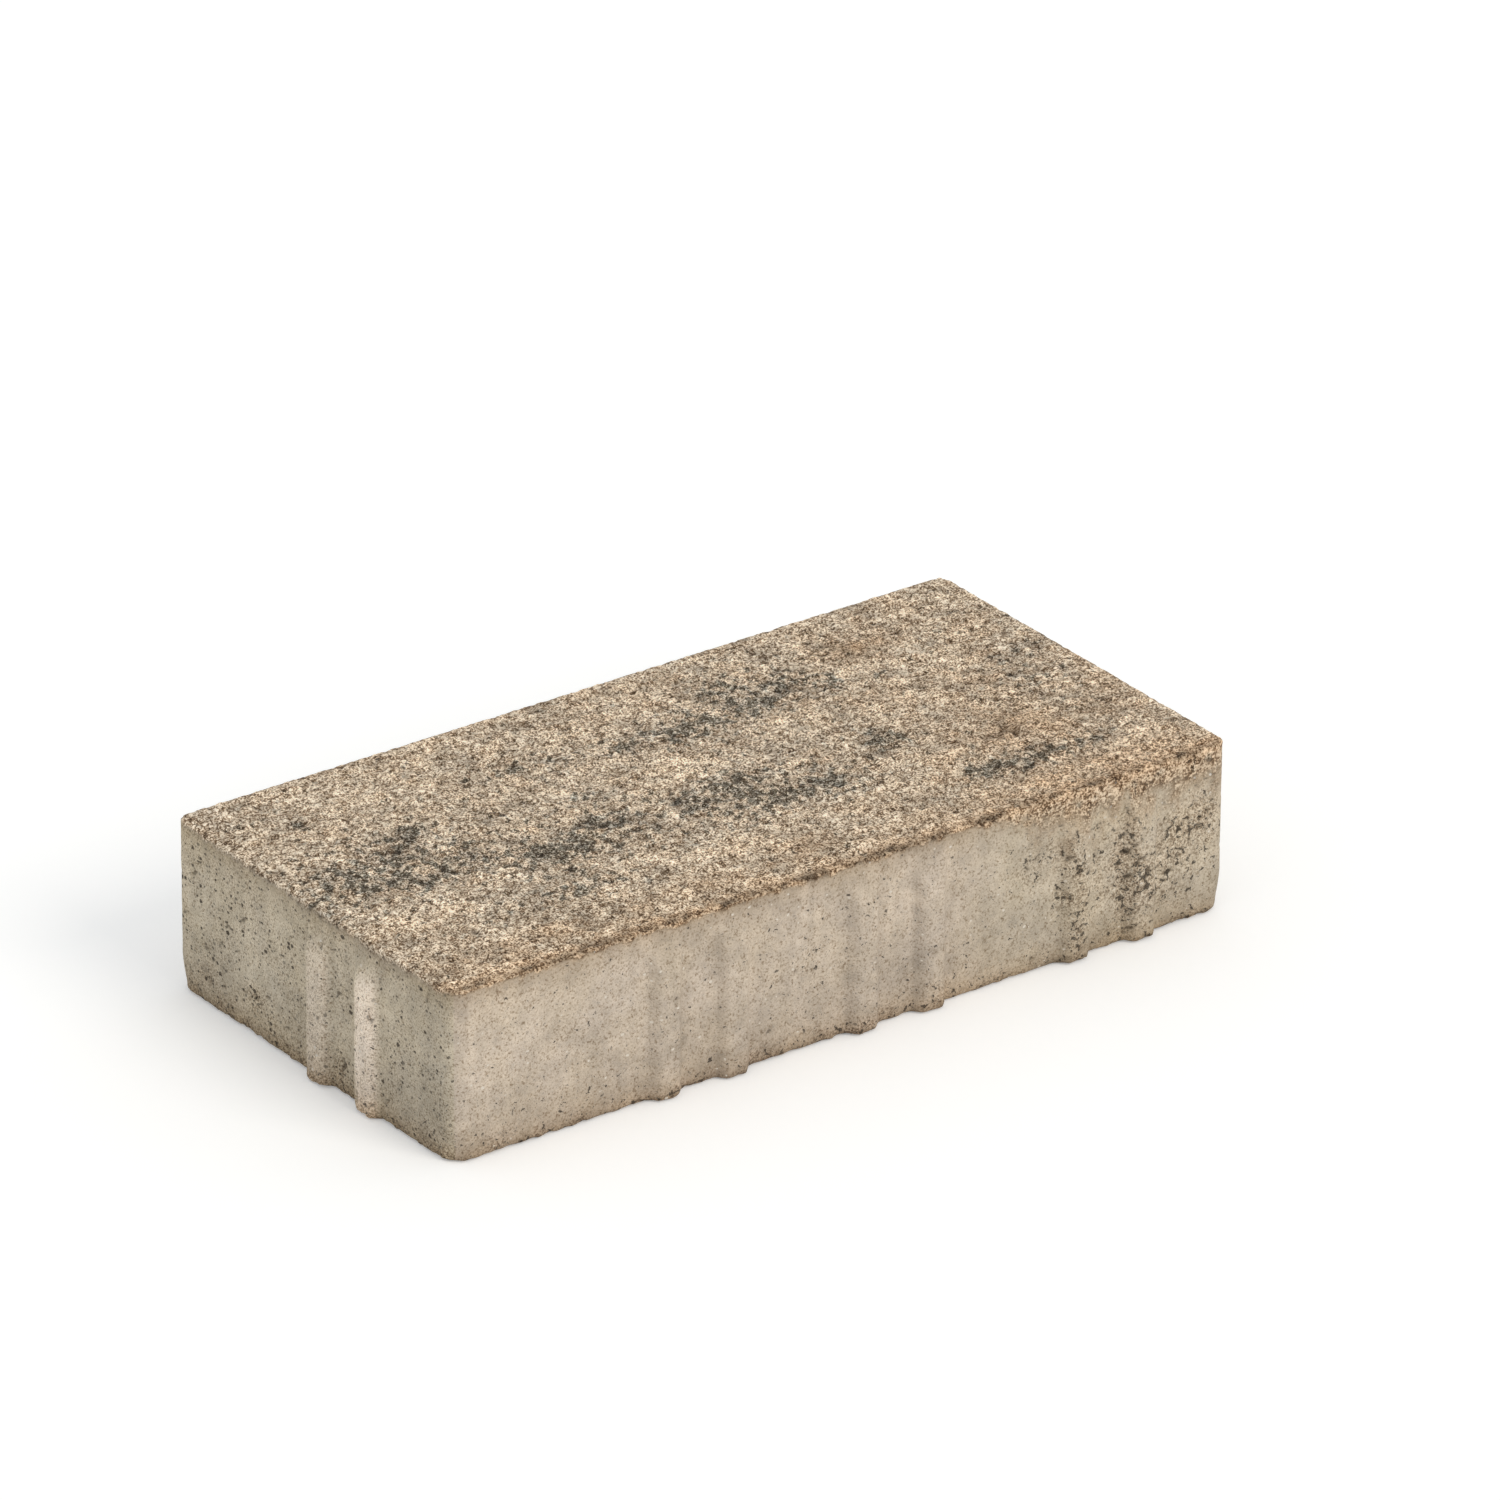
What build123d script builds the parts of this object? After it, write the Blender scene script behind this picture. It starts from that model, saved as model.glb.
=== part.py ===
from build123d import *
import os

# Rectangular concrete paving stone with spacer ribs that nest with those of its neighbours.
# It is pressed in one mould as one piece, so it is one solid. It lies on its bed face: X runs along
# its length, Y across its width and Z up, and the origin is the middle of the bed face.

# Block, in millimetres
LENGTH = 300.0
WIDTH = 150.0
HEIGHT = 60.0
CORNER_RADIUS = 5.0  # upright corners
TOP_EDGE_RADIUS = 1.5  # round the walking face
BED_EDGE_RADIUS = 2.0  # round the bed face and under the ribs

# Upright spacer ribs, which stand in pairs on the four sides
RIB_DEPTH = 3.3  # how far the crest stands out, which sets the joint
RIB_FOOT_WIDTH = 13.5  # where the flanks meet the wall
RIB_CREST_WIDTH = 6.5  # between the flanks at the crest, before rounding
RIB_CREST_RADIUS = 2.5
RIB_FOOT_RADIUS = 1.2
RIB_PITCH = 26.0  # from crest to crest within a pair
RIB_TOP_GAP = 7.0  # from the walking face down to where the rib begins
RIB_RAMP = 9.0  # height over which it then grows to its full depth
RIB_ROOT = 2.0  # how far the rib's solid reaches into the block

# Middle of each pair as a share of its side, from that side's left end seen from outside
LONG_SIDE_PAIR_SHARES = (0.31, 0.563, 0.84)
END_PAIR_SHARES = (0.618,)


def block():
    """The plain stone: a prism with round upright corners and an eased walking face."""
    stone = extrude(RectangleRounded(LENGTH, WIDTH, CORNER_RADIUS), amount=HEIGHT)
    return fillet(stone.edges().group_by(Axis.Z)[-1], TOP_EDGE_RADIUS)


def rib_section():
    """Plan of one rib on a wall along Y = 0 that faces -Y: a trapezoid with a round crest and flared feet."""
    foot = RIB_FOOT_WIDTH / 2
    crest = RIB_CREST_WIDTH / 2
    flare = foot + RIB_FOOT_RADIUS
    outline = Polyline(
        (-flare, 0),
        (-foot, 0),
        (-crest, -RIB_DEPTH),
        (crest, -RIB_DEPTH),
        (foot, 0),
        (flare, 0),
        (flare, RIB_ROOT),
        (-flare, RIB_ROOT),
        close=True,
    )
    section = make_face(outline)
    feet = section.vertices().group_by(Axis.Y)[1].sort_by(Axis.X)[1:-1]
    section = fillet(feet, RIB_FOOT_RADIUS)
    crest_corners = section.vertices().group_by(Axis.Y)[0]
    return fillet(crest_corners, RIB_CREST_RADIUS)


def rib():
    """One rib on a wall along Y = 0 that faces -Y, running out in a ramp below the walking face."""
    top = HEIGHT - RIB_TOP_GAP
    bar = extrude(rib_section(), amount=top)
    side_view = Polyline(
        (RIB_ROOT, 0),
        (-RIB_DEPTH, 0),
        (-RIB_DEPTH, top - RIB_RAMP),
        (0, top),
        (RIB_ROOT, top),
        close=True,
    )
    ramp = extrude(Plane.YZ * make_face(side_view), amount=RIB_FOOT_WIDTH, both=True)
    return bar & ramp


def ribs_on_side(side_length, wall_distance, pair_shares):
    """The rib pairs of one side that faces -Y, at its distance from the stone's middle."""
    one_rib = rib()
    ribs = []
    for share in pair_shares:
        middle = (share - 0.5) * side_length
        for offset in (-RIB_PITCH / 2, RIB_PITCH / 2):
            ribs.append(Pos(middle + offset, -wall_distance, 0) * one_rib)
    return ribs


def paving_stone():
    """The block with its ribs, the same on opposite sides after half a turn, so that neighbours nest."""
    long_side = ribs_on_side(LENGTH, WIDTH / 2, LONG_SIDE_PAIR_SHARES)
    end = ribs_on_side(WIDTH, LENGTH / 2, END_PAIR_SHARES)
    ribs = []
    for turn in (0, 180):
        ribs += [Rot(0, 0, turn) * one_rib for one_rib in long_side]
        ribs += [Rot(0, 0, turn - 90) * one_rib for one_rib in end]
    stone = block() + ribs
    return fillet(stone.edges().group_by(Axis.Z)[0], BED_EDGE_RADIUS)


os.makedirs("parts", exist_ok=True)
export_step(paving_stone(), "parts/paving_stone.step")
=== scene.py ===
import math

import bpy
import numpy as np
from mathutils import Euler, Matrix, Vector, noise

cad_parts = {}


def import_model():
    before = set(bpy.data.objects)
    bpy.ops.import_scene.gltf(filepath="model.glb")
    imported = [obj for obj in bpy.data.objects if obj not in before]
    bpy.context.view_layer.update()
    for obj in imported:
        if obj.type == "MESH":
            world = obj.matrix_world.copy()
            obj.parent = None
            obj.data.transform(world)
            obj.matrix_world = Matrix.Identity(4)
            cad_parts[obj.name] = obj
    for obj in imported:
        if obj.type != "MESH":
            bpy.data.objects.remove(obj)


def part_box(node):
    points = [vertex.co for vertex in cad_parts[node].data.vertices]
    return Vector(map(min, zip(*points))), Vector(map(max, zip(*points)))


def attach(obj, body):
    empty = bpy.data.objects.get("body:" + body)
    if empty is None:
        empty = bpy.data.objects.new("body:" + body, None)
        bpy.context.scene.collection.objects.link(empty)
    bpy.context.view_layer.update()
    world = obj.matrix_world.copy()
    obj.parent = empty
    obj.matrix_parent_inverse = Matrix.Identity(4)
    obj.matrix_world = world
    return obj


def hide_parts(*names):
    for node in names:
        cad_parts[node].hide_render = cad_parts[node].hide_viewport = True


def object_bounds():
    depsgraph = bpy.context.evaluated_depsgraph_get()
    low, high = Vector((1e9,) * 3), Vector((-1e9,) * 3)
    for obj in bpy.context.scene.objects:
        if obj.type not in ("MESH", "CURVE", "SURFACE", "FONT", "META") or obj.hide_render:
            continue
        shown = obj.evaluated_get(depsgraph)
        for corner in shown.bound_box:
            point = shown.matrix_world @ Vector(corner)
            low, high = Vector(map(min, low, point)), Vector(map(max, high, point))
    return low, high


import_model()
CAD_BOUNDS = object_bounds()
NODE = "paving_stone"
MM = 0.001

# Block and ribs, as in the CAD model
RIB_DEPTH = 3.3 * MM
RIB_FOOT_WIDTH = 13.5 * MM
RIB_CREST_WIDTH = 6.5 * MM
RIB_PITCH = 26.0 * MM
RIB_TOP_GAP = 7.0 * MM
RIB_RAMP = 9.0 * MM
LONG_SIDE_PAIR_SHARES = (0.31, 0.563, 0.84)
END_PAIR_SHARES = (0.618,)
CORNER_RADIUS = 5.0 * MM
TOP_EDGE_RADIUS = 1.5 * MM
BED_EDGE_RADIUS = 2.0 * MM
low_corner, high_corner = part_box(NODE)
LENGTH = high_corner.x - low_corner.x - 2 * RIB_DEPTH
WIDTH = high_corner.y - low_corner.y - 2 * RIB_DEPTH
HEIGHT = high_corner.z - low_corner.z

# Shape that wear and the mould give the skin
CORNER_WEAR = 3.0 * MM  # what wear adds to the upright corners' radius at the bed
CORNER_WEAR_HEIGHT = 14.0 * MM
FLANK_SHARE = 0.29  # half the run of a rib's flank, as a share of the foot's width over the crest's
STRIP_SOFTNESS = 1.0 * MM  # of the upright strips of colour on the ribs

# Lattice of the skin, with a coarser bed face
CELL = 1.045 * MM
BED_STEP = 3
NX = BED_STEP * round(LENGTH / CELL / BED_STEP)
NY = BED_STEP * round(WIDTH / CELL / BED_STEP)
NZ = round(HEIGHT / CELL)
FLAT = 0.01 * MM  # what counts as lying on the ground

# Rectangle of each face in the texture map: left, bottom, right and top
TEXTURE_PLACES = {
    "top": (0.0, 0.63, 1.0, 1.0),
    "front": (0.0, 0.48, 1.0, 0.62),
    "back": (0.0, 0.33, 1.0, 0.47),
    "left": (0.0, 0.18, 0.49, 0.32),
    "right": (0.51, 0.18, 1.0, 0.32),
    "bed": (0.0, 0.0, 1.0, 0.17),
}

# Camera at the photograph's view
PHOTO_PIXELS = 1500
CAMERA_AZIMUTH = math.radians(-36.5)
CAMERA_ELEVATION = math.radians(26.26)
CAMERA_ROLL = math.radians(0.37)
CAMERA_TARGET = Vector((-43.9, -82.9, 115.05)) * MM
CAMERA_DISTANCE = 3863 * MM
CAMERA_REACH = 100.0
FOCAL_PIXELS = 12667
SENSOR = 36.0

PATTERN_SHIFT = 17.3


def smooth_step(low, high, value):
    share = np.clip((value - low) / (high - low), 0, 1)
    return share * share * (3 - 2 * share)


def noise_field(points, size, pattern):
    """Smooth noise from about -1 to 1 with features of this size in millimetres, another for each pattern."""
    places = points / (np.array(size) * MM) + pattern * PATTERN_SHIFT
    return np.array([noise.noise(place) for place in places.tolist()])


def layered_noise(points, *layers):
    """Sum of noise fields: size in millimetres, pattern and strength of each."""
    return sum(strength * noise_field(points, size, pattern) for size, pattern, strength in layers)


def patch_field(along, across, patches, spread=1.0):
    """Sum of soft oval patches: place, half size and strength of each, in shares of the face."""
    total = np.zeros(len(along))
    for x, y, half_x, half_y, strength in patches:
        oval = ((along - x) / half_x) ** 2 + ((across - y) / half_y) ** 2
        total += strength * np.exp(-oval / spread**2)
    return np.clip(total, 0, 1)


def number_lattice():
    """Number of each lattice point on the skin, or -1, and the lattice places of the numbered points."""
    lattice = np.full((NX + 1, NY + 1, NZ + 1), -1)
    i, j, k = np.indices(lattice.shape)
    rim = (i == 0) | (i == NX) | (j == 0) | (j == NY)
    bed = (k == 0) & (i % BED_STEP == 0) & (j % BED_STEP == 0)
    kept = rim | (k == NZ) | bed
    lattice[kept] = np.arange(np.count_nonzero(kept))
    return lattice, np.argwhere(kept)


def sheet_faces(sheet, flip):
    """Squares between the points of one fine face."""
    corners = [sheet[:-1, :-1], sheet[1:, :-1], sheet[1:, 1:], sheet[:-1, 1:]]
    squares = np.stack(corners, axis=-1).reshape(-1, 4)
    return (squares[:, ::-1] if flip else squares).tolist()


def bed_faces(bed):
    """Coarse cells of the bed face. Those on the rim take in its finer points."""
    faces = []
    step = BED_STEP
    for i in range(0, NX, step):
        for j in range(0, NY, step):
            loop = [
                bed[i, j : j + step],
                bed[i : i + step, j + step],
                bed[i + step, j + step : j : -1],
                bed[i + step : i : -1, j],
            ]
            loop = np.concatenate(loop)
            faces.append(loop[loop >= 0].tolist())
    return faces


def skin_faces(lattice):
    """Faces of each side of the skin, with the lattice axes that span it and its place in the texture."""
    return [
        (sheet_faces(lattice[:, :, NZ], False), (0, 1), TEXTURE_PLACES["top"]),
        (sheet_faces(lattice[:, 0, :], False), (0, 2), TEXTURE_PLACES["front"]),
        (sheet_faces(lattice[:, NY, :], True), (0, 2), TEXTURE_PLACES["back"]),
        (sheet_faces(lattice[0, :, :], True), (1, 2), TEXTURE_PLACES["left"]),
        (sheet_faces(lattice[NX, :, :], False), (1, 2), TEXTURE_PLACES["right"]),
        (bed_faces(lattice[:, :, 0]), (0, 1), TEXTURE_PLACES["bed"]),
    ]


def eased_block(cells):
    """Points of the plain block, with its upright corners and its top and bed edges rounded."""
    plan = (cells[:, :2] / (NX, NY) - 0.5) * (LENGTH, WIDTH)
    height = cells[:, 2] / NZ * HEIGHT
    half = np.array([LENGTH, WIDTH]) / 2
    from_wall = half - np.abs(plan)
    margin = from_wall.min(axis=1)
    outward = np.where(from_wall == margin[:, None], np.sign(plan), 0.0)
    radius = CORNER_RADIUS + CORNER_WEAR * smooth_step(CORNER_WEAR_HEIGHT, 0, height)
    beyond = radius[:, None] - from_wall
    corner = beyond.min(axis=1) > 0
    reach = np.hypot(*beyond[corner].T)[:, None]
    outward[corner] = np.sign(plan[corner]) * beyond[corner] / reach
    core = np.sign(plan[corner]) * (half - radius[corner, None])
    plan[corner] = core + outward[corner] * beyond[corner].max(axis=1)[:, None]
    edges = ((TOP_EDGE_RADIUS, HEIGHT - height, -1), (BED_EDGE_RADIUS, height.copy(), 1))
    for radius, depth, way in edges:
        a = radius - margin
        b = radius - depth
        edge = (a > 0) & (b > 0)
        pull = 1 - np.maximum(a, b)[edge] / np.hypot(a, b)[edge]
        plan[edge] -= outward[edge] * (a[edge] * pull)[:, None]
        height[edge] += way * b[edge] * pull
    return np.column_stack([plan, height])


class Side:
    """One upright side: its points, the way it faces, and where they lie along it, seen from outside."""

    def __init__(self, mask, facing, along, length, pair_shares):
        self.mask = mask
        self.facing = np.array(facing, float)
        self.along = along
        self.length = length
        self.pair_shares = pair_shares

    def rib_places(self, strengths=(1, 1)):
        """Distance of each point along the side from each rib's middle, with the strength of that rib."""
        for share in self.pair_shares:
            for offset, strength in zip((-RIB_PITCH / 2, RIB_PITCH / 2), strengths):
                yield self.along - share * self.length - offset, strength

    def rib_depth(self, height):
        """How far the ribs stand out at each point, running out in a ramp at their tops."""
        middle = (RIB_FOOT_WIDTH + RIB_CREST_WIDTH) / 4
        run = (RIB_FOOT_WIDTH - RIB_CREST_WIDTH) * FLANK_SHARE
        depth = np.zeros(len(height))
        for place, _ in self.rib_places():
            depth = np.maximum(depth, 1 - smooth_step(middle - run, middle + run, np.abs(place)))
        ramp = np.clip((HEIGHT - RIB_TOP_GAP - height) / RIB_RAMP, 0, 1)
        return RIB_DEPTH * np.minimum(depth, ramp)

    def rib_strip(self, limits, height, strengths=(1, 1)):
        """1 on an upright strip between two distances from each rib's middle, fading out above the rib."""
        left, right = limits
        soft = STRIP_SOFTNESS
        strip = np.zeros(len(height))
        for place, strength in self.rib_places(strengths):
            inside = smooth_step(left - soft, left + soft, place)
            inside *= smooth_step(right + soft, right - soft, place)
            strip = np.maximum(strip, strength * inside)
        top = HEIGHT - RIB_TOP_GAP
        return strip * self.mask * smooth_step(top, top - RIB_RAMP, height)


def upright_sides(cells, points):
    """The four sides: front, right end, back and left end."""
    x, y = points[:, 0], points[:, 1]
    return {
        "front": Side(cells[:, 1] == 0, (0, -1, 0), x + LENGTH / 2, LENGTH, LONG_SIDE_PAIR_SHARES),
        "right": Side(cells[:, 0] == NX, (1, 0, 0), y + WIDTH / 2, WIDTH, END_PAIR_SHARES),
        "back": Side(cells[:, 1] == NY, (0, 1, 0), LENGTH / 2 - x, LENGTH, LONG_SIDE_PAIR_SHARES),
        "left": Side(cells[:, 0] == 0, (-1, 0, 0), WIDTH / 2 - y, WIDTH, END_PAIR_SHARES),
    }


# Patches on the walking face: share of the length from the left, share of the width from the front,
# half sizes and strength
DARK_PATCHES = (
    (0.05, 0.52, 0.06, 0.08, 0.6),
    (0.16, 0.52, 0.08, 0.10, 0.6),
    (0.28, 0.39, 0.05, 0.055, 1.0),
    (0.35, 0.45, 0.04, 0.04, 0.7),
    (0.47, 0.41, 0.045, 0.055, 0.85),
    (0.53, 0.45, 0.04, 0.07, 0.6),
    (0.55, 0.33, 0.05, 0.035, 0.9),
    (0.60, 0.33, 0.018, 0.035, 0.9),
    (0.71, 0.43, 0.028, 0.06, 0.7),
    (0.64, 0.83, 0.035, 0.05, 0.65),
    (0.65, 0.72, 0.03, 0.035, 0.9),
    (0.70, 0.77, 0.018, 0.03, 0.9),
    (0.74, 0.72, 0.015, 0.03, 0.7),
    (0.56, 0.71, 0.035, 0.045, 0.8),
    (0.48, 0.73, 0.04, 0.03, 0.6),
    (0.34, 0.77, 0.025, 0.025, 0.75),
    (0.40, 0.75, 0.03, 0.03, 0.4),
    (0.09, 0.81, 0.012, 0.02, 0.7),
    (0.04, 0.88, 0.02, 0.02, 0.6),
    (0.17, 0.66, 0.02, 0.025, 0.6),
    (0.37, 0.58, 0.012, 0.02, 0.8),
    (0.745, 0.18, 0.02, 0.03, 0.9),
    (0.80, 0.185, 0.03, 0.028, 0.8),
    (0.87, 0.18, 0.035, 0.022, 0.85),
    (0.92, 0.49, 0.02, 0.055, 0.65),
    (0.955, 0.59, 0.02, 0.04, 0.55),
    (0.90, 0.74, 0.035, 0.022, 0.45),
    (0.80, 0.69, 0.012, 0.02, 0.7),
    (0.25, 0.225, 0.04, 0.035, 0.5),
    (0.17, 0.24, 0.06, 0.025, 0.35),
)
RUST_PATCHES = (
    (0.86, 0.30, 0.16, 0.40, 0.4),
    (0.81, 0.83, 0.05, 0.06, 0.9),
    (0.84, 0.31, 0.045, 0.06, 0.7),
    (0.36, 0.08, 0.25, 0.05, 0.5),
    (0.80, 0.07, 0.20, 0.06, 0.5),
    (0.10, 0.10, 0.12, 0.06, 0.4),
    (0.57, 0.84, 0.03, 0.02, 0.5),
    (0.50, 0.14, 0.03, 0.05, 0.4),
    (0.27, 0.93, 0.05, 0.04, 0.4),
)
PALE_PATCHES = (
    (0.13, 0.35, 0.12, 0.06, 0.7),
    (0.40, 0.22, 0.09, 0.07, 0.6),
    (0.66, 0.24, 0.07, 0.08, 0.6),
    (0.50, 0.58, 0.09, 0.06, 0.4),
    (0.90, 0.10, 0.06, 0.05, 0.4),
)

# Honeycombed patches of the sides: share along from the left, share of the height, half sizes and strength
HONEYCOMB_PATCHES = {
    "front": (
        (0.79, 0.42, 0.018, 0.50, 1.0),
        (0.868, 0.44, 0.016, 0.48, 0.9),
        (0.955, 0.56, 0.045, 0.24, 1.0),
        (0.91, 0.32, 0.05, 0.25, 0.75),
        (0.83, 0.45, 0.03, 0.40, 0.55),
        (0.74, 0.65, 0.03, 0.20, 0.55),
        (0.61, 0.08, 0.04, 0.12, 0.85),
        (0.46, 0.47, 0.03, 0.12, 0.5),
        (0.27, 0.05, 0.02, 0.07, 0.8),
        (0.375, 0.05, 0.02, 0.07, 0.7),
        (0.53, 0.05, 0.04, 0.06, 0.7),
        (0.05, 0.04, 0.03, 0.05, 0.6),
    ),
    "left": (
        (0.29, 0.22, 0.03, 0.08, 0.75),
        (0.11, 0.17, 0.04, 0.08, 0.5),
        (0.60, 0.12, 0.03, 0.10, 0.7),
        (0.75, 0.05, 0.10, 0.06, 0.5),
    ),
    "back": (
        (0.20, 0.35, 0.05, 0.25, 0.6),
        (0.66, 0.12, 0.06, 0.12, 0.7),
        (0.86, 0.45, 0.02, 0.35, 0.6),
    ),
    "right": (
        (0.35, 0.25, 0.08, 0.15, 0.6),
        (0.70, 0.10, 0.08, 0.10, 0.6),
    ),
}


def face_shares(points):
    """Share of the length from the left and share of the width from the front."""
    return points[:, 0] / LENGTH + 0.5, points[:, 1] / WIDTH + 0.5


def inset(points):
    """Distance of each point from the nearest side, on the walking face and the bed face."""
    return np.minimum(LENGTH / 2 - np.abs(points[:, 0]), WIDTH / 2 - np.abs(points[:, 1]))


def decay(distance, length):
    return np.exp(-distance / length)


def bell(value, width):
    return np.exp(-((value / width) ** 2))


# Lower edge of the coarse face mix on the sides, and the fines that were smeared down from it
EDGE_RAGS = (((3.5, 3.5, 9.0), 1, 1.0), (2.2, 2, 0.6))
EDGE_REACH = 1.4 * MM
EDGE_WANDER = 1.2 * MM
EDGE_SOFTNESS = 0.8 * MM
FADE_LENGTH = 0.6 * MM
FRONT_SMEAR = 11.0 * MM
FRONT_SMEAR_SHARES = (0.66, 0.80)  # where along the front it begins and is full
LEFT_SMEAR = 2.0 * MM
LEFT_SMEAR_SHARE = 0.68  # its middle along the left end
LEFT_SMEAR_WIDTH_SHARE = 0.22
SMEAR_RAGS = 0.6
SMEAR_RELIEF = 0.25  # how much of the smear stands out in relief


def granular_edge(points, sides):
    """1 where the coarse face mix lies: on the walking face and in a ragged band below its edge.

    The first field is for the relief, and the second for the colour, which the smeared fines change more.
    """
    depth = HEIGHT - points[:, 2]
    ragged = layered_noise(points, *EDGE_RAGS)
    reach = EDGE_REACH + EDGE_WANDER * ragged
    mix = smooth_step(1, -1, (depth - reach) / EDGE_SOFTNESS)
    front, left = sides["front"], sides["left"]
    smear = FRONT_SMEAR * smooth_step(*FRONT_SMEAR_SHARES, front.along / LENGTH) * front.mask
    smear += LEFT_SMEAR * bell(left.along / WIDTH - LEFT_SMEAR_SHARE, LEFT_SMEAR_WIDTH_SHARE) * left.mask
    smear *= 1 + SMEAR_RAGS * ragged
    fade = bell(np.clip(depth - reach, 0, None), FADE_LENGTH + smear)
    return np.maximum(mix, SMEAR_RELIEF * fade), np.maximum(mix, fade)


# Open concrete on the sides
PATCH_LEVEL = 0.95
PATCH_BREAKS = (6, 20, 0.6)
BED_CRUMBLE_WIDTH = 4.0 * MM
BED_CRUMBLE_BREAKS = (9, 8, 0.9)
PINHOLES = {"front": 0.30, "left": 0.92, "back": 0.50, "right": 0.80}
OTHER_PINHOLES = 0.4
PINHOLE_SWARMS = (12, 19, 0.42)
HONEYCOMB_PINHOLES = 0.4


def honeycomb_density(points, sides):
    """How open the concrete is on the sides: patches, and a crumbly strip along the bed edge."""
    density = np.zeros(len(points))
    for name, side in sides.items():
        mask = side.mask
        along = side.along[mask] / side.length
        field = patch_field(along, points[mask, 2] / HEIGHT, HONEYCOMB_PATCHES[name])
        density[mask] = np.maximum(density[mask], field)
    density *= PATCH_LEVEL + layered_noise(points, PATCH_BREAKS)
    bed_strip = decay(points[:, 2] + inset(points), BED_CRUMBLE_WIDTH)
    bed_strip *= 1 + layered_noise(points, BED_CRUMBLE_BREAKS)
    return np.clip(np.maximum(density, bed_strip), 0, 1)


def porosity(points, sides, honeycomb):
    """How many pinholes the sides and the bed face have."""
    pores = np.full(len(points), OTHER_PINHOLES)
    for name, side in sides.items():
        pores[side.mask] = PINHOLES[name]
    pores += layered_noise(points, PINHOLE_SWARMS) + HONEYCOMB_PINHOLES * honeycomb
    return np.clip(pores, 0, 1)


# Colours that the tone and the stains change
FACE_TINT = np.array((1.06, 0.915, 0.735))
WALL_TINT = np.array((0.67, 0.574, 0.477))
BROWN = np.array((0.93, 0.845, 0.765))
KHAKI = np.array((0.99, 0.965, 0.88))
COOL = np.array((0.95, 0.99, 1.05))
# On the ends this greenish hue is a painted cool tint of their shade; on the right of the front it is the
# paste's own tint
END_HUE = np.array((0.975, 1.0, 0.95))
# Hue of the painted light on the crest and right flank of the ends' ribs
RIB_LIGHT_HUE = np.array((1.04, 1.03, 1.11))


def tinted(base, tone, stain, hue):
    """A colour made lighter or darker by the tone, and stained with a hue or, below 0, made cooler."""
    stain = stain[:, None]
    cast = 1 + np.where(stain > 0, stain * (hue - 1), -stain * (COOL - 1))
    return base * cast * (1 + tone)[:, None]


def hued(tint, amount, hue):
    """A colour moved towards a hue by an amount at each point."""
    return tint * (1 + amount[:, None] * (hue - 1))


# Size and pattern of the grains of the face mix, and of the clumps in which they stick together
LUMPS = (1.7, 6)
CLUMPS = (3.4, 29)

# Tone and stain of the walking face: strength of each patch, band and mottling
PALE_TONE = 0.20
RUST_TONE = -0.10
DARK_TONE = -0.15
DARK_TONE_SPREAD = 1.5
# The LUMPS and CLUMPS layers follow the grains' relief, lighter on their tops and darker in the gaps: partly
# painted light and shade, partly the grains' own colour
FACE_MOTTLING = ((16, 11, 0.19), (5.5, 12, 0.34), (*LUMPS, 0.30), (*CLUMPS, 0.24))
FRONT_BAND_SHARE = 0.055  # width of the brown band along the front edge
FRONT_BAND_TONE = 0.30
FRONT_BAND_STAIN = 1.0
EDGE_LINE_SHARE = 0.026  # width of the dark line within it
EDGE_LINE_DEPTH = 2.0 * MM
EDGE_LINE_TONE = -0.72
EDGE_LINE_STAIN = 0.7
EDGE_LINE_BREAKS = (4, 13, 0.8)
RUST_STAIN = 1.1
DARK_STAIN = -0.6
FACE_STAINS = ((12, 14, 0.52), (3.5, 15, 0.42))
BELOW_EDGE = (1.0 * MM, 3.0 * MM)
BELOW_EDGE_TONE = -0.22
BELOW_EDGE_TONE_LIMIT = 0.10
FACE_TONE_LIMITS = (-0.75, 0.6)
FACE_STAIN_LIMITS = (-0.8, 1.25)


def face_tint(points, dark):
    """Broad colour of the granular face: pale and rusty patches, a brown front edge and soft mottling."""
    along, across = face_shares(points)
    depth = HEIGHT - points[:, 2]
    band = bell(across, FRONT_BAND_SHARE)
    line = bell(across, EDGE_LINE_SHARE) * bell(depth, EDGE_LINE_DEPTH)
    rust = patch_field(along, across, RUST_PATCHES)
    tone = PALE_TONE * patch_field(along, across, PALE_PATCHES) + RUST_TONE * rust
    tone += DARK_TONE * patch_field(along, across, DARK_PATCHES, DARK_TONE_SPREAD)
    tone += layered_noise(points, *FACE_MOTTLING) + FRONT_BAND_TONE * band
    tone += EDGE_LINE_TONE * line * (1 + layered_noise(points, EDGE_LINE_BREAKS))
    stain = np.maximum(RUST_STAIN * rust, FRONT_BAND_STAIN * band + EDGE_LINE_STAIN * line)
    stain += layered_noise(points, *FACE_STAINS) + DARK_STAIN * dark
    below = smooth_step(*BELOW_EDGE, depth)
    tone = np.where(below > 0, np.minimum(tone, BELOW_EDGE_TONE_LIMIT), tone) + BELOW_EDGE_TONE * below
    return tinted(FACE_TINT, np.clip(tone, *FACE_TONE_LIMITS), np.clip(stain, *FACE_STAIN_LIMITS), BROWN)


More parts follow.
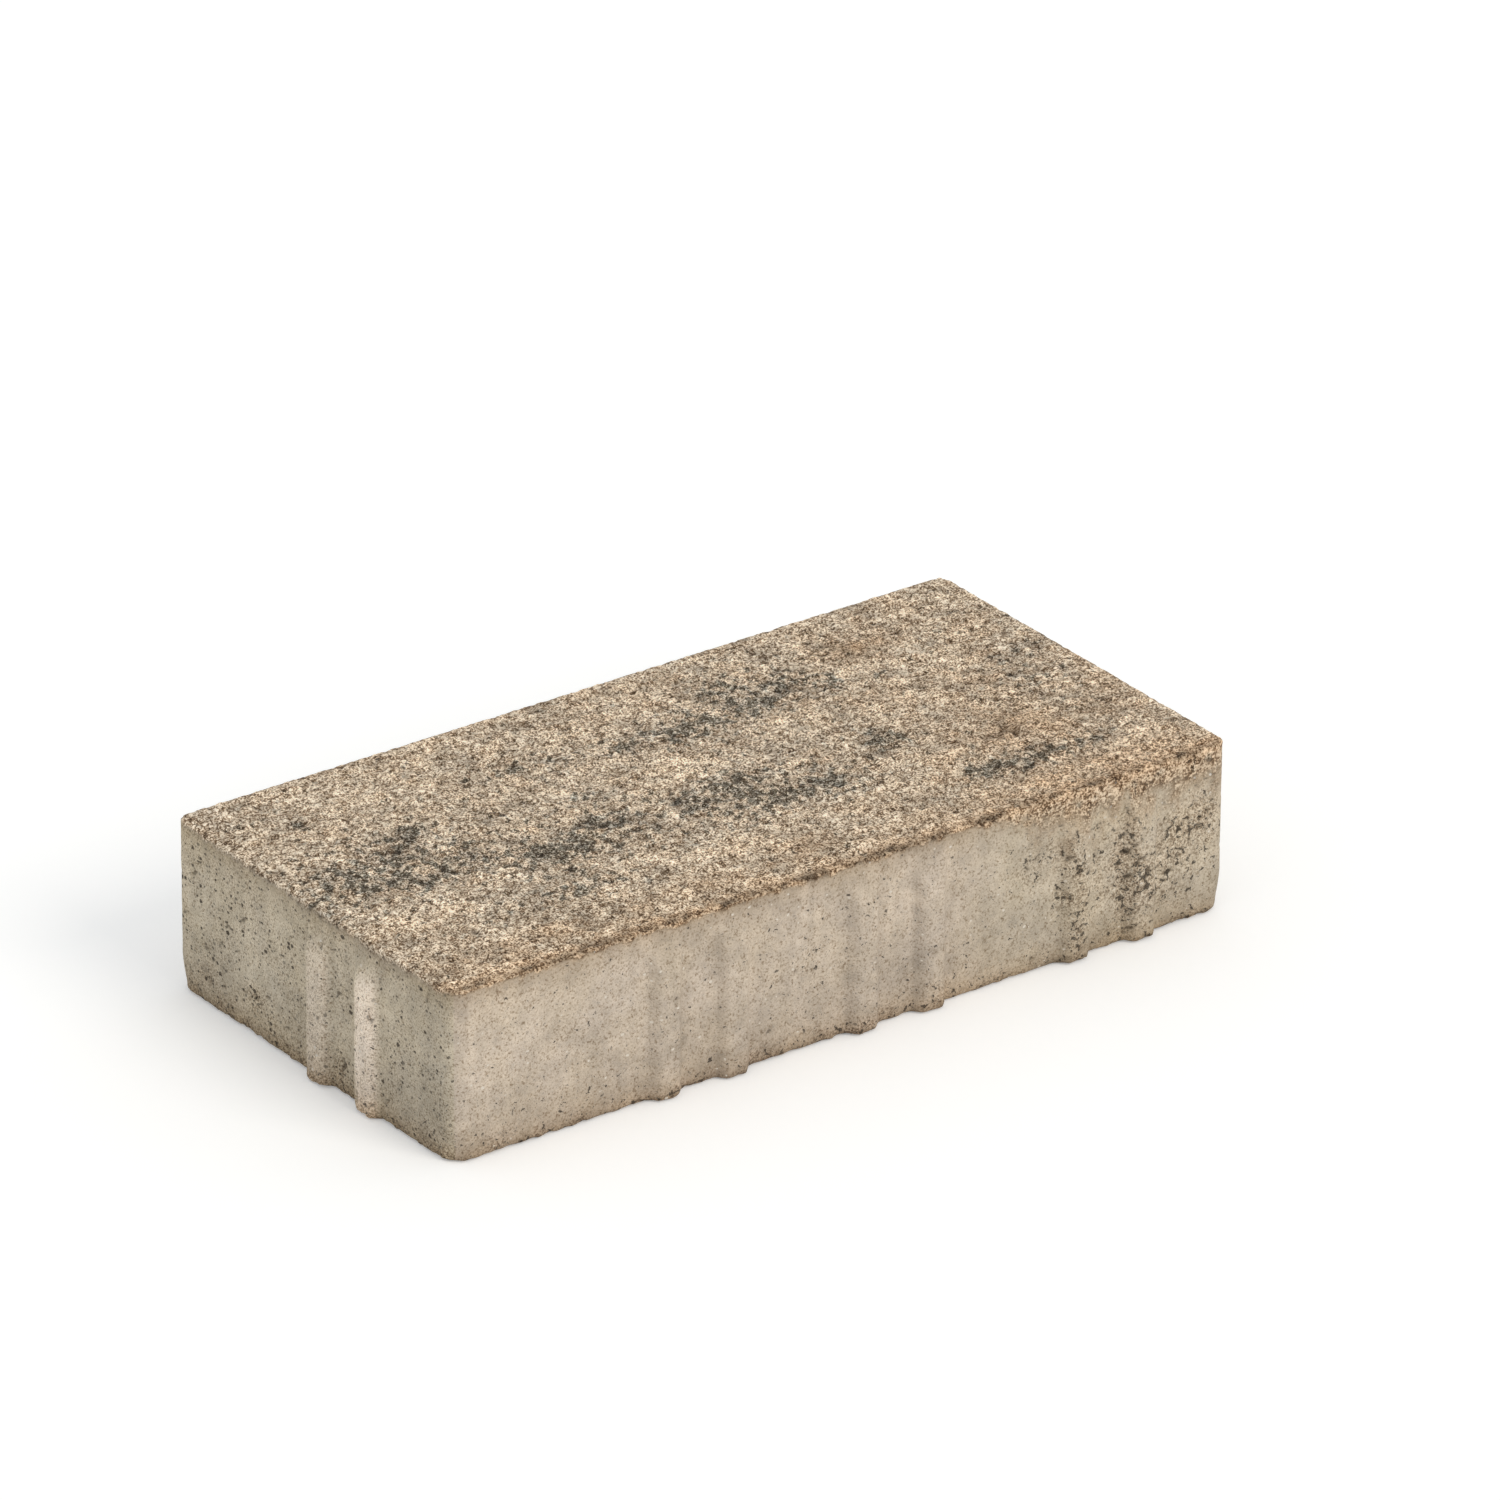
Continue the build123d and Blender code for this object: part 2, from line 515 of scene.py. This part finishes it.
# Tone of the sides: strength and reach of their marks, shades and dirt
DRAW_MARKS = ((2.6, 2.6, 45), 21, 0.09)
DRAW_MARKS_HEIGHT = 40 * MM
WALL_MOTTLING = ((18, 22, 0.10), (6, 23, 0.13), (2.6, 24, 0.12), ((13, 13, 70), 31, 0.09))
LOW_SHADE_TONE = -0.17
LOW_SHADE_HEIGHTS = (40 * MM, 4 * MM)
BED_DIRT_TONE = -0.45
BED_DIRT_HEIGHT = 2.4 * MM
TOP_DIRT_TONE = -0.36
TOP_DIRT_DEPTH = 3.2 * MM
TOP_DIRT_LEVEL = 0.8
TOP_DIRT_BREAKS = (5, 25, 0.6)
HIGH_SHADE_TONE = -0.07
HIGH_SHADE_DEPTH = 18 * MM
HONEYCOMB_TONE = 0.18
END_TONE = 0.06

# Strips beside and on the ribs, from each rib's middle: painted shade along the foot of the left flank on the
# long sides; on the ends, painted light on the crest and right flank and a painted highlight on the crest's
# left edge
RIB_SHADE = (-6.4 * MM, -5.8 * MM)
RIB_SHADE_TONE = -0.16
RIB_SHADE_LEVEL = 0.8
RIB_SHADE_BREAKS = ((3, 3, 6), 26, 1.2)
RIB_LIGHT = (-3.0 * MM, 5.6 * MM)
RIB_LIGHT_TONE = 0.50
RIB_LIGHT_STRENGTHS = (0.62, 1)  # of the first and second rib of a pair
RIB_LIGHT_BREAKS = ((4, 4, 9), 30, 0.35)
RIB_HIGHLIGHT = (-4.0 * MM, -3.0 * MM)
RIB_HIGHLIGHT_TONE = 0.34


def wall_tone(points, sides, honeycomb, height):
    """How light the sides are: draw marks, mottling, shade painted low and high on them, dirty edges, painted
    shade at the feet of the long sides' ribs, and painted light and highlights on the ends' ribs.
    """
    depth = HEIGHT - points[:, 2]
    tone = layered_noise(points, DRAW_MARKS) * smooth_step(0, DRAW_MARKS_HEIGHT, height)
    tone += layered_noise(points, *WALL_MOTTLING) + HONEYCOMB_TONE * honeycomb
    tone += LOW_SHADE_TONE * smooth_step(*LOW_SHADE_HEIGHTS, height)
    tone += HIGH_SHADE_TONE * smooth_step(HIGH_SHADE_DEPTH, 0, depth)
    tone += BED_DIRT_TONE * decay(height, BED_DIRT_HEIGHT)
    top_dirt = TOP_DIRT_LEVEL + layered_noise(points, TOP_DIRT_BREAKS)
    tone += TOP_DIRT_TONE * decay(depth, TOP_DIRT_DEPTH) * top_dirt
    # Painted shade along the foot of each rib's left flank on the long sides, broken up by noise
    line = RIB_SHADE_TONE * (RIB_SHADE_LEVEL + layered_noise(points, RIB_SHADE_BREAKS))
    for name in ("front", "back"):
        tone += line * sides[name].rib_strip(RIB_SHADE, height)
    # On the ends: painted light on each rib's crest and right flank, weaker on the first rib of a pair, and a
    # painted highlight on the crest's left edge, both broken up by noise
    light_breaks = 1 + layered_noise(points, RIB_LIGHT_BREAKS)
    for name in ("left", "right"):
        side = sides[name]
        tone += RIB_LIGHT_TONE * light_breaks * side.rib_strip(RIB_LIGHT, height, RIB_LIGHT_STRENGTHS)
        tone += RIB_HIGHLIGHT_TONE * light_breaks * side.rib_strip(RIB_HIGHLIGHT, height) + END_TONE * side.mask
    return tone


# Stains of the sides, and how the ends darken from their left to their right
WALL_STAIN = 0.15
WALL_STAINS = ((20, 27, 0.35), (7, 28, 0.3))
WALL_STAIN_LIMITS = (-0.8, 1.0)
EDGE_STAIN = 0.6
TOP_STAIN_DEPTH = 9 * MM
BED_STAIN_HEIGHT = 5 * MM
END_LEFT_TONE = 0.07
END_TONE_FALL = 0.11
BED_BROWN = 1.3
TOP_BROWN = 1.0
TOP_BROWN_DEPTH = 4 * MM
FRONT_CAST = 0.7
FRONT_CAST_SHARES = (0.62, 0.74)  # where along the front it begins and is full


def wall_tint(points, sides, honeycomb):
    """Broad colour of the sides and the bed face, with dirt up the sides and in from the rim of the bed."""
    height = points[:, 2] + inset(points)
    depth = HEIGHT - points[:, 2]
    stain = WALL_STAIN + layered_noise(points, *WALL_STAINS)
    stain += EDGE_STAIN * (decay(depth, TOP_STAIN_DEPTH) + decay(height, BED_STAIN_HEIGHT))
    tone = wall_tone(points, sides, honeycomb, height)
    tint = tinted(WALL_TINT, tone, np.clip(stain, *WALL_STAIN_LIMITS), KHAKI)
    for name in ("left", "right"):
        side = sides[name]
        # The ends get the greenish hue: a painted cool tint of their shade
        tint = hued(tint, side.mask, END_HUE)
        tint *= (1 + side.mask * (END_LEFT_TONE - END_TONE_FALL * side.along / WIDTH))[:, None]
        # The painted light on the ends' ribs also gets its own hue
        tint = hued(tint, side.rib_strip(RIB_LIGHT, height, RIB_LIGHT_STRENGTHS), RIB_LIGHT_HUE)
    dirt = BED_BROWN * decay(height, BED_STAIN_HEIGHT) + TOP_BROWN * decay(depth, TOP_BROWN_DEPTH)
    front = sides["front"]
    cast = FRONT_CAST * front.mask * smooth_step(*FRONT_CAST_SHARES, front.along / LENGTH)
    return hued(hued(tint, dirt, BROWN), cast, END_HUE)


# Dark grains of the walking face
DARK_CLUMPS = ((2.8, 16, 0.9), (8, 17, 0.5))
DARK_CLUMPING = 1.1
DARK_CORE_SPREAD = 1.15
DARK_CORE_SPAN = (0.12, 1.05)
DARK_CORE_SHARE = 0.74
DARK_HALO = 0.32
DARK_HALO_SPREAD = 2.2
DARK_SPOTS = (2.8, 18, 1.0)
DARK_SPOT_SPAN = (0.37, 0.58)
DARK_SPOT_SHARE = 0.64


def dark_grains(points):
    """How likely a grain of the face is dark: in clumps within the dark patches, and in a few other spots."""
    along, across = face_shares(points)
    patch = patch_field(along, across, DARK_PATCHES, DARK_CORE_SPREAD)
    clumped = DARK_CLUMPING * layered_noise(points, *DARK_CLUMPS) * np.sqrt(patch)
    core = smooth_step(*DARK_CORE_SPAN, patch + clumped)
    halo = DARK_HALO * patch_field(along, across, DARK_PATCHES, DARK_HALO_SPREAD)
    spots = smooth_step(*DARK_SPOT_SPAN, layered_noise(points, DARK_SPOTS) + halo)
    return np.clip(DARK_CORE_SHARE * core + DARK_SPOT_SHARE * spots, 0, 1)


# Relief: heights and depths of the grains, the paste between the holes, the pits and the worn bed edge
GRAIN_RELIEF = ((*LUMPS, 1.0 * MM), (*CLUMPS, 0.45 * MM))
GRAIN_RIM_SHARE = 0.4  # what is left of it at the edge of the walking face
GRAIN_RIM_WIDTH = 5 * MM
TOP_SINK = 0.55 * MM  # of the grains' middle level below the CAD model's face
EDGE_SINK = 0.20 * MM
PASTE_WAVES = (4, 9, 1.0)
PASTE_RELIEF = 0.09 * MM
HONEYCOMB_RELIEF = 0.30 * MM
PASTE_SINK = 0.08 * MM
WALL_HOLLOWS = ((3.0, 33, 0.6), (2.0, 4, 0.4))
WALL_PIT_LEVEL = 0.62
WALL_PIT_SPAN = (0.0, 0.20)
WALL_PIT_HONEYCOMB = 0.24
WALL_PIT_PORES = 0.32
WALL_PIT_DEPTH = 0.9 * MM
HONEYCOMB_PIT_DEPTH = 0.6 * MM
LOW_PIT_SHARE = 0.3  # what is left of the pits at the bed
LOW_PIT_HEIGHTS = (2 * MM, 6 * MM)
FACE_HOLLOWS = (3.6, 5, 1.0)
FACE_PIT_SPAN = (0.40, 0.60)
FACE_PIT_SHARE = 0.6
FACE_PIT_DEPTH = 0.5 * MM
BED_WEAR = 0.38 * MM
BED_WEAR_HEIGHT = 2.2 * MM
BED_WEAR_LEVEL = 0.4
BED_WEAR_BREAKS = (2.6, 10, 1.2)
BED_WEAR_LIMITS = (0, 1.2)


def pit_depths(points, granular, honeycomb, porous):
    """How deep each point lies in a pit, from 0 to 1."""
    open_ground = WALL_PIT_HONEYCOMB * honeycomb + WALL_PIT_PORES * porous - WALL_PIT_LEVEL
    wall_pit = smooth_step(*WALL_PIT_SPAN, layered_noise(points, *WALL_HOLLOWS) + open_ground)
    wall_pit *= LOW_PIT_SHARE + (1 - LOW_PIT_SHARE) * smooth_step(*LOW_PIT_HEIGHTS, points[:, 2])
    face_pit = smooth_step(*FACE_PIT_SPAN, layered_noise(points, FACE_HOLLOWS))
    return wall_pit * (1 - granular) + FACE_PIT_SHARE * face_pit * granular


def relief(points, granular, honeycomb, porous, cells):
    """Height of the surface over the plain shape, and how deep each point lies in a pit."""
    height = points[:, 2]
    calm = GRAIN_RIM_SHARE + (1 - GRAIN_RIM_SHARE) * smooth_step(0, GRAIN_RIM_WIDTH, inset(points))
    grains = calm * layered_noise(points, *GRAIN_RELIEF) - np.where(cells[:, 2] == NZ, TOP_SINK, EDGE_SINK)
    waves = PASTE_RELIEF + HONEYCOMB_RELIEF * honeycomb
    paste = waves * layered_noise(points, PASTE_WAVES) - PASTE_SINK
    pit = pit_depths(points, granular, honeycomb, porous)
    wall_depth = WALL_PIT_DEPTH + HONEYCOMB_PIT_DEPTH * honeycomb
    lift = granular * (grains - pit * FACE_PIT_DEPTH) + (1 - granular) * (paste - pit * wall_depth)
    wear = np.clip(BED_WEAR_LEVEL + layered_noise(points, BED_WEAR_BREAKS), *BED_WEAR_LIMITS)
    lift -= BED_WEAR * wear * decay(height, BED_WEAR_HEIGHT)
    bed = (cells[:, 2] == 0) & (height < FLAT)
    return np.where(bed, 0.0, lift), np.where(bed, 0.0, pit)


def add_fields(mesh, fields, tint):
    """Values at each point that the material reads."""
    for name, values in fields.items():
        layer = mesh.attributes.new(name, "FLOAT", "POINT")
        layer.data.foreach_set("value", values.astype(np.float32))
    layer = mesh.attributes.new("tint", "FLOAT_COLOR", "POINT")
    colours = np.column_stack([tint, np.ones(len(tint))])
    layer.data.foreach_set("color", colours.astype(np.float32).ravel())


def add_texture_map(mesh, groups, cells):
    """Texture map with one rectangle for each side of the skin."""
    places = []
    for faces, axes, (left, bottom, right, top) in groups:
        loops = np.concatenate([np.array(face) for face in faces])
        share = cells[loops][:, axes] / np.array((NX, NY, NZ))[list(axes)]
        places.append(share * (right - left, top - bottom) + (left, bottom))
    layer = mesh.uv_layers.new(name="OFBake")
    layer.uv.foreach_set("vector", np.concatenate(places).astype(np.float32).ravel())


def stone_mesh():
    """The whole stone: shape, ribs, relief and the fields that its material reads."""
    lattice, cells = number_lattice()
    groups = skin_faces(lattice)
    points = eased_block(cells)
    sides = upright_sides(cells, points)
    ribbed = points.copy()
    for side in sides.values():
        ribbed[side.mask] += side.facing * side.rib_depth(points[:, 2])[side.mask, None]

    mesh = bpy.data.meshes.new(NODE + "_skin")
    mesh.from_pydata(ribbed.tolist(), [], [face for faces, _, _ in groups for face in faces])
    normals = np.zeros(len(cells) * 3)
    mesh.vertices.foreach_get("normal", normals)

    granular, smeared = granular_edge(points, sides)
    top = cells[:, 2] == NZ
    granular[top] = 1.0
    smeared[top] = 1.0
    honeycomb = honeycomb_density(points, sides) * (1 - granular)
    porous = porosity(points, sides, honeycomb)
    lift, pit = relief(points, granular, honeycomb, porous, cells)
    shaped = ribbed + normals.reshape(-1, 3) * lift[:, None]
    shaped = np.clip(shaped, *CAD_BOUNDS)
    mesh.vertices.foreach_set("co", shaped.ravel())

    dark = dark_grains(points)
    walls = wall_tint(points, sides, honeycomb)
    tint = walls + smeared[:, None] * (face_tint(points, dark) - walls)
    fields = {"granular": smeared, "honeycomb": honeycomb, "porous": porous, "pit": pit, "dark": dark}
    add_fields(mesh, fields, tint)
    add_texture_map(mesh, groups, cells)
    mesh.shade_smooth()
    mesh.validate()
    mesh.update()
    return mesh


class Nodes:
    """Short ways to add nodes to one material or world."""

    def __init__(self, owner):
        owner.use_nodes = True
        self.tree = owner.node_tree
        self.tree.nodes.clear()

    def add(self, kind, inputs, output=0, **settings):
        node = self.tree.nodes.new(kind)
        for key, value in settings.items():
            setattr(node, key, value)
        for key, value in inputs.items():
            if isinstance(value, bpy.types.NodeSocket):
                self.tree.links.new(value, node.inputs[key])
            else:
                node.inputs[key].default_value = value
        return node.outputs[output]

    def field(self, name, output="Fac"):
        return self.add("ShaderNodeAttribute", {}, output, attribute_name=name)

    def math(self, operation, a, b, c=0.0):
        return self.add("ShaderNodeMath", {0: a, 1: b, 2: c}, operation=operation)

    def mix(self, factor, a, b, blend="MIX"):
        inputs = {0: factor, 6: a, 7: b}
        return self.add("ShaderNodeMix", inputs, 2, data_type="RGBA", blend_type=blend)

    def span(self, value, low, high, to_low=0.0, to_high=1.0):
        inputs = {"Value": value, "From Min": low, "From Max": high, "To Min": to_low, "To Max": to_high}
        return self.add("ShaderNodeMapRange", inputs, interpolation_type="SMOOTHSTEP")

    def noise(self, place, size, detail, roughness):
        inputs = {"Vector": place, "Scale": 1 / size, "Detail": detail, "Roughness": roughness}
        return self.add("ShaderNodeTexNoise", inputs)

    def cells(self, place, size):
        """Distance to the middle of the nearest cell, and two chance values for that cell."""
        node = self.add("ShaderNodeTexVoronoi", {"Vector": place, "Scale": 1 / size}).node
        chance = self.add("ShaderNodeSeparateColor", {0: node.outputs["Color"]}).node.outputs
        return node.outputs["Distance"], chance[0], chance[1]

    def ramp(self, value, stops):
        colour = self.add("ShaderNodeValToRGB", {0: value})
        ramp = colour.node.color_ramp
        while len(ramp.elements) < len(stops):
            ramp.elements.new(1.0)
        for element, (place, stop) in zip(ramp.elements, stops):
            element.position = place
            element.color = (*stop, 1.0)
        return colour

    def finish(self, kind, shader):
        self.tree.links.new(shader, self.tree.nodes.new(kind).inputs["Surface"])


# Colour of the grain from its gaps to its tops, on the walking face and on the sides. The same noise sets the
# bump, so the dark gaps and pale tops are partly painted shade and light on the grains, partly their own
# colour.
FACE_STOPS = (
    (0.395, (0.05, 0.032, 0.019)),
    (0.45, (0.235, 0.17, 0.115)),
    (0.50, (0.56, 0.495, 0.43)),
    (0.548, (0.87, 0.845, 0.81)),
    (0.60, (1.0, 1.0, 1.0)),
)
WALL_STOPS = (
    (0.37, (0.40, 0.345, 0.285)),
    (0.425, (0.665, 0.635, 0.60)),
    (0.49, (0.83, 0.825, 0.815)),
    (0.56, (0.93, 0.93, 0.93)),
    (0.64, (1.0, 1.0, 1.0)),
)
DARK_GRAIN = (0.41, 0.455, 0.475, 1)
HOLE = (0.045, 0.032, 0.02, 1)
CRUMB = (0.68, 0.62, 0.54, 1)

# Grain of the concrete: size, detail and roughness of its noise, and the cells of its crumbs and holes
FINE_GRAIN = (0.66 * MM, 4.0, 0.62)
COARSE_GRAIN = (1.8 * MM, 3.0, 0.6)
FINE_SHARE = 0.74
RAGGEDNESS = 0.8
CELL_SIZE = 2.1 * MM
CELL_STRETCH = (1.0, 1.0, 1.25)

# How far the ragged noise moves each pattern
RAGGED_DARK = -3.0
RAGGED_PINHOLE = 1.3
RAGGED_VOID = 2.4
RAGGED_EDGE = 1.8

# Spans of the material: from low, from high, and to low and high where those aren't 0 and 1
NODULE_SPAN = (0.20, 0.75, 0.02, -0.02)
PALE_GRAIN_SPAN = (0.75, 1.0, 0.0, 0.04)
DEEP_GRAIN_SPAN = (0.12, 0.0, 0.0, 0.06)
DARK_SPAN = (0.15, 0.95)
CRUMBLY_SPAN = (0.45, 1.9, 0.0, 0.7)
CRUMB_CHANCE_SPAN = (0.045, 0.035)
CRUMB_SIZE_SPAN = (0.26, 0.16)
PINHOLE_SIZE_SPAN = (0.80, 1.75, -0.22, 0.26)
WIDE_PINHOLE_SPAN = (0.86, 1.0, 0.0, 0.20)
PINHOLE_EDGE_SPAN = (0.0, 0.12)
PINHOLE_SHADE_SPAN = (0.0, 1.0, 0.40, 1.0)
VOID_SPAN = (1.10, 1.24)
FACE_MIX_SPAN = (0.10, 0.90)
PIT_SPAN = (0.35, 0.75)
ROUGHNESS_SPAN = (0.3, 0.7, 0.82, 0.96)

DARK_GRAIN_DROP = -0.03  # of the tone of dark grains
HONEYCOMB_VOIDS = 0.38
HOLE_SHADE = 0.9
PIT_SHADE = 0.55
FACE_BUMP = 1.0
WALL_BUMP = 0.2
BUMP_STRENGTH = 0.9
BUMP_DISTANCE = 0.9 * MM
SPECULAR = 0.25


class Grain:
    """Noise and cells that the grain, the crumbs and the holes of the concrete follow."""

    def __init__(self, n):
        place = n.add("ShaderNodeTexCoord", {}, "Object")
        fine = n.noise(place, *FINE_GRAIN)
        coarse = n.noise(place, *COARSE_GRAIN)
        self.level = n.math("MULTIPLY_ADD", fine, FINE_SHARE, n.math("MULTIPLY", coarse, 1 - FINE_SHARE))
        self.ragged = n.math("MULTIPLY_ADD", n.math("ADD", fine, coarse), RAGGEDNESS, -RAGGEDNESS)
        stretched = n.add("ShaderNodeVectorMath", {0: place, 1: CELL_STRETCH}, operation="MULTIPLY")
        self.near, self.chance, self.second_chance = n.cells(stretched, CELL_SIZE)


def face_colour(n, grain, tint):
    """Granular face mix, with pale, deep and dark grains."""
    # Each cell is a little lighter in its middle and darker at its rim, and the ramp below darkens the gaps
    # of the grain noise: partly painted shade between the grains
    tone = n.math("ADD", grain.level, n.span(grain.near, *NODULE_SPAN))
    tone = n.math("ADD", tone, n.span(grain.chance, *PALE_GRAIN_SPAN))
    tone = n.math("SUBTRACT", tone, n.span(grain.chance, *DEEP_GRAIN_SPAN))
    uneven = n.math("MULTIPLY_ADD", grain.ragged, RAGGED_DARK, 1.0)
    dark = n.span(n.math("MULTIPLY", n.field("dark"), uneven), *DARK_SPAN)
    tone = n.math("MULTIPLY_ADD", dark, DARK_GRAIN_DROP, tone)
    face = n.mix(1.0, tint, n.ramp(tone, FACE_STOPS), "MULTIPLY")
    return n.mix(dark, face, n.mix(1.0, face, DARK_GRAIN, "MULTIPLY"))


def wall_colour(n, grain, tint, porous, honeycomb):
    """Pressed paste, grainier where it is open, with a few pale crumbs."""
    crumbly = n.span(n.math("ADD", porous, honeycomb), *CRUMBLY_SPAN)
    shade = n.mix(crumbly, n.ramp(grain.level, WALL_STOPS), n.ramp(grain.level, FACE_STOPS))
    crumb = n.span(n.math("ADD", grain.near, grain.ragged), *CRUMB_SIZE_SPAN)
    crumb = n.math("MULTIPLY", n.span(grain.chance, *CRUMB_CHANCE_SPAN), crumb)
    return n.mix(crumb, n.mix(1.0, tint, shade, "MULTIPLY"), CRUMB)


def wall_holes(n, grain, porous, honeycomb):
    """1 in the pinholes of the paste and in the voids between the crumbs of a honeycombed patch."""
    radius = n.span(n.math("ADD", porous, grain.chance), *PINHOLE_SIZE_SPAN)
    radius = n.math("ADD", radius, n.span(grain.second_chance, *WIDE_PINHOLE_SPAN))
    radius = n.math("MULTIPLY_ADD", grain.ragged, RAGGED_PINHOLE, radius)
    pinhole = n.span(n.math("SUBTRACT", radius, grain.near), *PINHOLE_EDGE_SPAN)
    pinhole = n.math("MULTIPLY", pinhole, n.span(grain.second_chance, *PINHOLE_SHADE_SPAN))
    void = n.math("MULTIPLY_ADD", honeycomb, HONEYCOMB_VOIDS, grain.near)
    void = n.math("MULTIPLY_ADD", grain.ragged, RAGGED_VOID, void)
    return n.math("MAXIMUM", pinhole, n.span(void, *VOID_SPAN))


def concrete():
    """One material for the whole stone: granular face mix above, pressed paste with holes on the sides."""
    material = bpy.data.materials.new("concrete")
    n = Nodes(material)
    grain = Grain(n)
    tint = n.field("tint", "Color")
    porous = n.field("porous")
    honeycomb = n.field("honeycomb")
    granular = n.math("MULTIPLY_ADD", grain.ragged, RAGGED_EDGE, n.field("granular"))
    granular = n.span(granular, *FACE_MIX_SPAN)
    wall = wall_colour(n, grain, tint, porous, honeycomb)
    colour = n.mix(granular, wall, face_colour(n, grain, tint))
    hole = n.math("SUBTRACT", 1.0, granular)
    hole = n.math("MULTIPLY", wall_holes(n, grain, porous, honeycomb), hole)
    pit = n.span(n.math("ADD", n.field("pit"), grain.ragged), *PIT_SPAN)
    shade = n.math("MAXIMUM", n.math("MULTIPLY", hole, HOLE_SHADE), n.math("MULTIPLY", pit, PIT_SHADE))

    height = n.math("MULTIPLY_ADD", granular, FACE_BUMP - WALL_BUMP, WALL_BUMP)
    height = n.math("SUBTRACT", n.math("MULTIPLY", grain.level, height), hole)
    bump = {"Height": height, "Strength": BUMP_STRENGTH, "Distance": BUMP_DISTANCE}
    inputs = {
        "Base Color": n.mix(shade, colour, HOLE),
        "Roughness": n.span(grain.level, *ROUGHNESS_SPAN),
        "Normal": n.add("ShaderNodeBump", bump, "Normal"),
        "Specular IOR Level": SPECULAR,
    }
    n.finish("ShaderNodeOutputMaterial", n.add("ShaderNodeBsdfPrincipled", inputs))
    return material


def place_stone():
    stone = bpy.data.objects.new("stone", stone_mesh())
    bpy.context.scene.collection.objects.link(stone)
    stone.data.materials.append(concrete())
    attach(stone, "root")
    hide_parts(NODE)


# Light and floor
AMBIENT = (0.72, 0.735, 0.74, 1)
WHITE = (1, 1, 1, 1)
KEY_TINT = (1.0, 0.94, 0.85)
KEY_LEVEL = 0.36 * math.pi
KEY_ANGLE = math.radians(30)
KEY_FROM = Vector((0.2, -0.78, 0.59))
FLOOR_COLOUR = (0.86, 0.86, 0.86, 1)
FLOOR_GLOW = 0.24
FLOOR_REACH = 6.0


def seen_directly(n):
    """1 for rays that show the background itself: from the camera, a gloss or glass."""
    path = n.tree.nodes.new("ShaderNodeLightPath").outputs
    seen = n.math("MAXIMUM", path["Is Camera Ray"], path["Is Glossy Ray"])
    return n.math("MAXIMUM", seen, path["Is Transmission Ray"])


def floor():
    """Pale floor that shows white in the open and keeps the stone's shadow."""
    material = bpy.data.materials.new("floor")
    n = Nodes(material)
    lit = n.add("ShaderNodeBsdfDiffuse", {"Color": FLOOR_COLOUR})
    glow = n.add("ShaderNodeEmission", {"Strength": n.math("MULTIPLY", seen_directly(n), FLOOR_GLOW)})
    n.finish("ShaderNodeOutputMaterial", n.add("ShaderNodeAddShader", {0: lit, 1: glow}))
    mesh = bpy.data.meshes.new("floor")
    corners = [(FLOOR_REACH * x, FLOOR_REACH * y, 0) for x, y in ((-1, -1), (1, -1), (1, 1), (-1, 1))]
    mesh.from_pydata(corners, [], [(0, 1, 2, 3)])
    mesh.materials.append(material)
    plane = bpy.data.objects.new("floor", mesh)
    bpy.context.scene.collection.objects.link(plane)


def world():
    """Even soft light, seen as plain white."""
    sky = bpy.data.worlds.new("studio")
    n = Nodes(sky)
    colour = n.mix(seen_directly(n), AMBIENT, WHITE)
    n.finish("ShaderNodeOutputWorld", n.add("ShaderNodeBackground", {"Color": colour}))
    bpy.context.scene.world = sky


def key_light():
    lamp = bpy.data.lights.new("key", "SUN")
    lamp.energy = KEY_LEVEL
    lamp.angle = KEY_ANGLE
    lamp.color = KEY_TINT
    light = bpy.data.objects.new("key", lamp)
    light.rotation_euler = KEY_FROM.to_track_quat("Z", "Y").to_euler()
    bpy.context.scene.collection.objects.link(light)


def camera():
    """Long lens at the photograph's viewing angle."""
    data = bpy.data.cameras.new("camera")
    data.sensor_width = SENSOR
    data.lens = SENSOR * FOCAL_PIXELS / PHOTO_PIXELS
    data.clip_end = CAMERA_REACH
    view = bpy.data.objects.new("camera", data)
    turn = Euler((math.pi / 2 - CAMERA_ELEVATION, 0, CAMERA_AZIMUTH)).to_matrix()
    roll = Euler((0, 0, CAMERA_ROLL)).to_matrix()
    view.matrix_world = (turn @ roll).to_4x4()
    view.location = CAMERA_TARGET + CAMERA_DISTANCE * (turn @ Vector((0, 0, 1)))
    bpy.context.scene.collection.objects.link(view)
    bpy.context.scene.camera = view


bpy.context.scene.view_settings.view_transform = "Standard"
place_stone()
floor()
world()
key_light()
camera()
